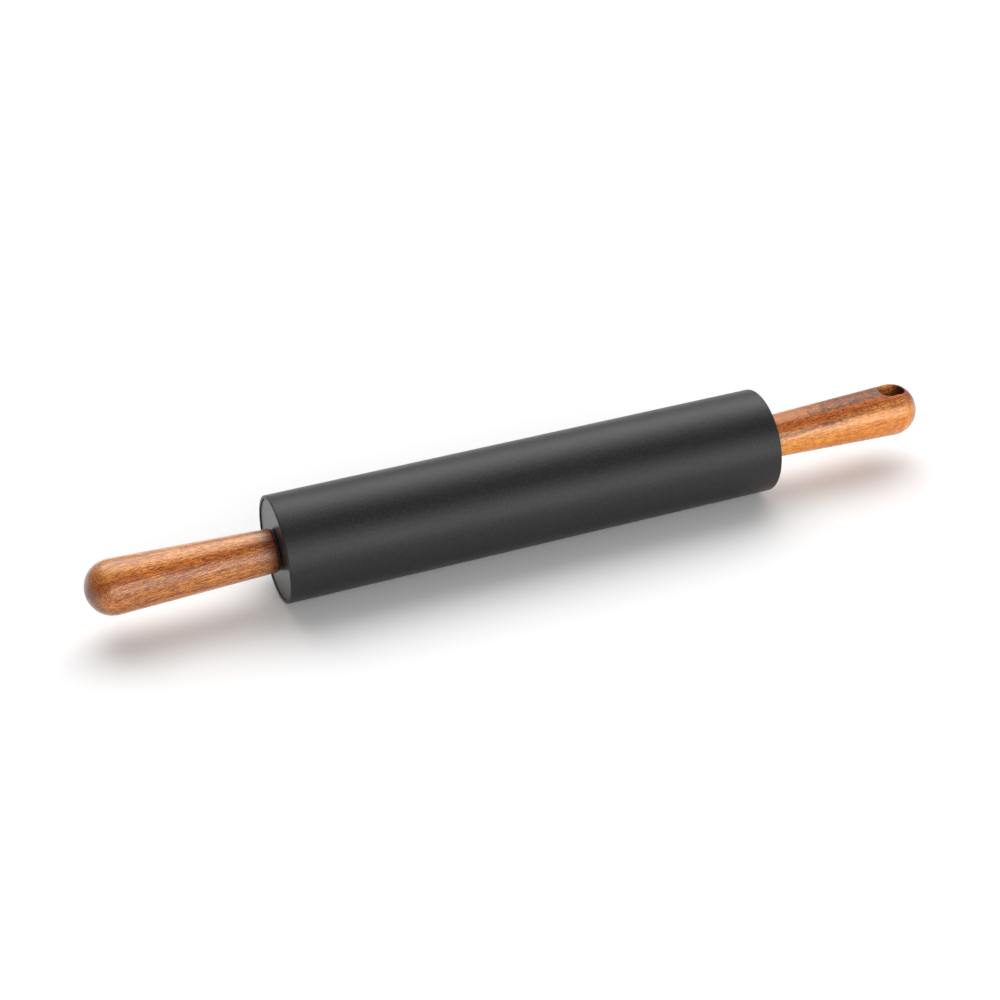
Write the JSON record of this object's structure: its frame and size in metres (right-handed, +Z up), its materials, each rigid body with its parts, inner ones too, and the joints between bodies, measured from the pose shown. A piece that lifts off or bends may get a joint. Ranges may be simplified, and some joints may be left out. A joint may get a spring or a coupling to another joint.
{
  "type": "rolling pin",
  "caption": "Rolling pin with a smooth silicone-sleeved roller that turns on ball bearings between turned wooden handles, with a hanging slot through the right handle.",
  "frame": {"origin": "on the plane that the roller rests on, under the middle of the roller", "axes": "+X along the axle, towards the handle with the hanging slot; +Z up, along the slot's way through the handle"},
  "size_m": [0.4988, 0.06, 0.06],
  "materials": {
    "silicone": "smooth satin charcoal silicone",
    "cap_plastic": "fine-grained satin moulding in dark grey",
    "handle_wood": "oiled, turned reddish-brown hardwood with dark pores",
    "core_alloy": "extruded, unpolished",
    "axle_steel": "drawn bar",
    "bearing_steel": "ground and polished",
    "spring_steel": "blackened spring steel",
    "nylon": "natural nylon",
    "acetal": "black acetal, turned",
    "seal_rubber": "smooth black",
    "brass": "turned"
  },
  "bodies": {
    "handles": {"handle_left": "handle_wood", "handle_right": "handle_wood", "axle_rod": "axle_steel", "threaded_insert_left": "brass", "threaded_insert_right": "brass", "spacer_washer_left": "acetal", "spacer_washer_right": "acetal", "bearing_inner_race_left": "bearing_steel", "bearing_inner_race_right": "bearing_steel", "retaining_ring_left": "spring_steel", "retaining_ring_right": "spring_steel"},
    "roller": {"silicone_sleeve": "silicone", "core_tube": "core_alloy", "end_cap_left": "cap_plastic", "end_cap_right": "cap_plastic", "bearing_outer_race_left": "bearing_steel", "bearing_outer_race_right": "bearing_steel", "bearing_seal_inner_left": "seal_rubber", "bearing_seal_inner_right": "seal_rubber", "bearing_seal_outer_left": "seal_rubber", "bearing_seal_outer_right": "seal_rubber"},
    "cage_left": {"bearing_cage_left": "nylon", "bearing_balls_left": "bearing_steel"},
    "cage_right": {"bearing_cage_right": "nylon", "bearing_balls_right": "bearing_steel"}
  },
  "joints": [
    {"name": "roller_spin", "type": "hinge", "parent": "handles", "child": "roller", "pos_m": [0, 0, 0.03], "axis": [1, 0, 0], "continuous": true},
    {"name": "cage_spin_left", "type": "hinge", "parent": "handles", "child": "cage_left", "pos_m": [-0.1415, 0, 0.03], "axis": [1, 0, 0], "continuous": true},
    {"name": "cage_spin_right", "type": "hinge", "parent": "handles", "child": "cage_right", "pos_m": [0.1415, 0, 0.03], "axis": [1, 0, 0], "continuous": true}
  ],
  "couplings": [
    {"joint": "cage_spin_left", "follows": "roller_spin", "ratio": 0.63233},
    {"joint": "cage_spin_right", "follows": "roller_spin", "ratio": 0.63233}
  ]
}
